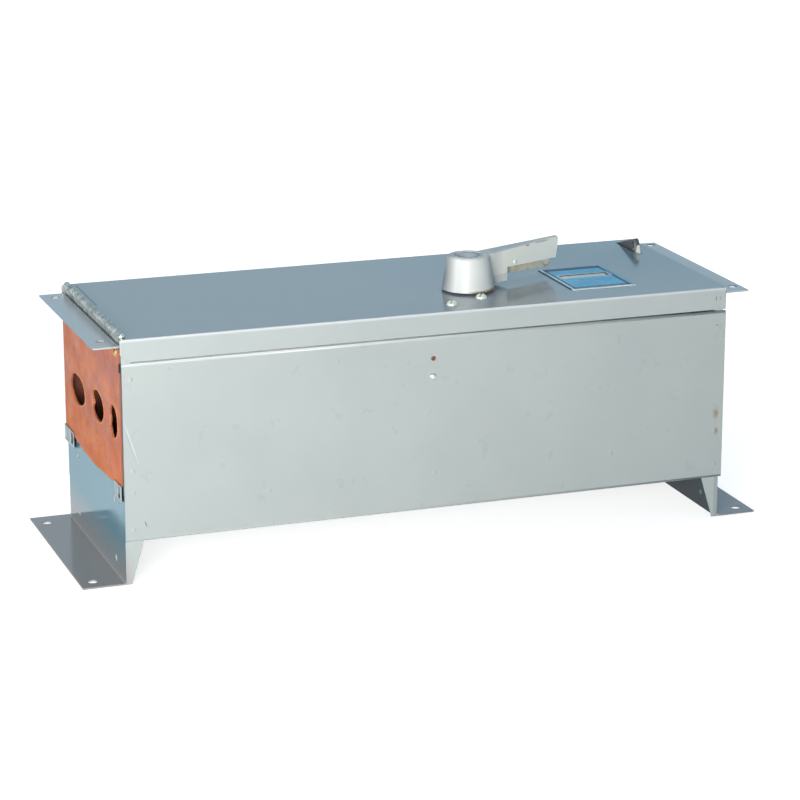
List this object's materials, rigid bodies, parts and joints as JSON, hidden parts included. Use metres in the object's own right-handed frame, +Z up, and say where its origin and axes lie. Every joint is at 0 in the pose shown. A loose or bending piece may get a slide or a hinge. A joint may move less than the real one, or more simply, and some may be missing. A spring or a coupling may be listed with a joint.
{
  "type": "fusible busway tap off box",
  "caption": "Long hinged-lid steel switch box on flanged feet, with a rotary handle, fibre cable barrier, knife switch and fuse clips inside.",
  "frame": {"origin": "centre of the bounding rectangle, on the plane the feet stand on", "axes": "+X from the line end (fibre barrier, hinge) to the load end, +Y from front to back, +Z up"},
  "size_m": [0.69, 0.2286, 0.274],
  "materials": {
    "grey_paint": "semi-gloss machine enamel, lightly scuffed",
    "end_plate_paint": "glossier enamel, reflecting",
    "vulcanised_fibre": "hard orange-brown sheet, cut edges fuzzy",
    "brass": "worn slotted heads",
    "galvanised_steel": "dull spangled zinc, tarnished",
    "zinc_plate": "bright zinc plate",
    "dark_steel": "oiled dark steel",
    "phenolic": "dark moulded phenolic",
    "dark_moulding": "black moulded arc chute",
    "copper": "plated copper",
    "aluminium": "extruded lug",
    "fuse_body": "plain unmarked fuse tube with metal ferrules",
    "ground_green": "green-dyed screw",
    "blue_plate": "blank blue printed plate",
    "silver_enamel": "silver-grey enamelled casting with worn edges",
    "tongue_zinc": "yellow-passivated zinc"
  },
  "bodies": {
    "housing": {"body_shell": "grey_paint", "line_end_plate": "end_plate_paint", "load_end_plate": "end_plate_paint", "fibre_barrier": "vulcanised_fibre", "barrier_screws": "brass", "barrier_clips": "galvanised_steel", "side_liners": "vulcanised_fibre", "side_screws": "zinc_plate", "padlock_hasp": "dark_steel", "hinge_body_leaf": "galvanised_steel", "hinge_pin": "galvanised_steel", "mounting_pan": "galvanised_steel", "switch_base": "phenolic", "base_screws": "zinc_plate", "line_lugs": "aluminium", "line_lug_screws": "zinc_plate", "line_jaws": "copper", "hinge_jaws": "copper", "blade_pivots": "zinc_plate", "arc_chambers": "dark_moulding", "arc_plates": "zinc_plate", "mechanism_frame": "zinc_plate", "fuse_base": "phenolic", "line_fuse_clips": "copper", "load_fuse_clips": "copper", "fuse_1": "fuse_body", "fuse_2": "fuse_body", "fuse_3": "fuse_body", "load_lugs": "aluminium", "load_lug_screws": "zinc_plate", "phase_barriers": "vulcanised_fibre", "ground_bar": "aluminium", "ground_screws": "ground_green"},
    "lid": {"lid": "grey_paint", "hinge_lid_leaf": "galvanised_steel", "rating_plate": "blue_plate", "lid_screws": "zinc_plate", "bearing_plate": "galvanised_steel"},
    "handle": {"handle_knob": "silver_enamel", "knob_cap": "silver_enamel", "handle_shaft": "zinc_plate", "shaft_clip": "dark_steel"},
    "lock_tongue": {"lock_tongue": "tongue_zinc"},
    "drive": {"drive_cup": "dark_steel", "crank_pin": "zinc_plate"},
    "blades": {"moving_blades": "copper", "crossbar": "phenolic", "drive_yoke": "zinc_plate", "yoke_screws": "zinc_plate"}
  },
  "joints": [
    {"name": "lid_hinge", "type": "hinge", "parent": "housing", "child": "lid", "pos_m": [-0.3016, 0, 0.2374], "axis": [0, -1, 0], "range_deg": [0, 110]},
    {"name": "handle_turn", "type": "hinge", "parent": "lid", "child": "handle", "pos_m": [0.063, -0.038, 0.2365], "axis": [0, 0, 1], "range_deg": [0, 90]},
    {"name": "tongue_slide", "type": "slide", "parent": "handle", "child": "lock_tongue", "axis": [0.9397, 0.342, 0], "range_m": [0, 0.012]},
    {"name": "drive_turn", "type": "hinge", "parent": "housing", "child": "drive", "pos_m": [0.063, -0.038, 0.187], "axis": [0, 0, 1], "range_deg": [0, 90]},
    {"name": "blades_swing", "type": "hinge", "parent": "housing", "child": "blades", "pos_m": [0.063, 0, 0.132], "axis": [0, 1, 0], "range_deg": [-41.42, 0]}
  ],
  "couplings": [
    {"joint": "drive_turn", "follows": "handle_turn", "ratio": 1},
    {"joint": "blades_swing", "follows": "handle_turn", "ratio": -0.46011}
  ]
}
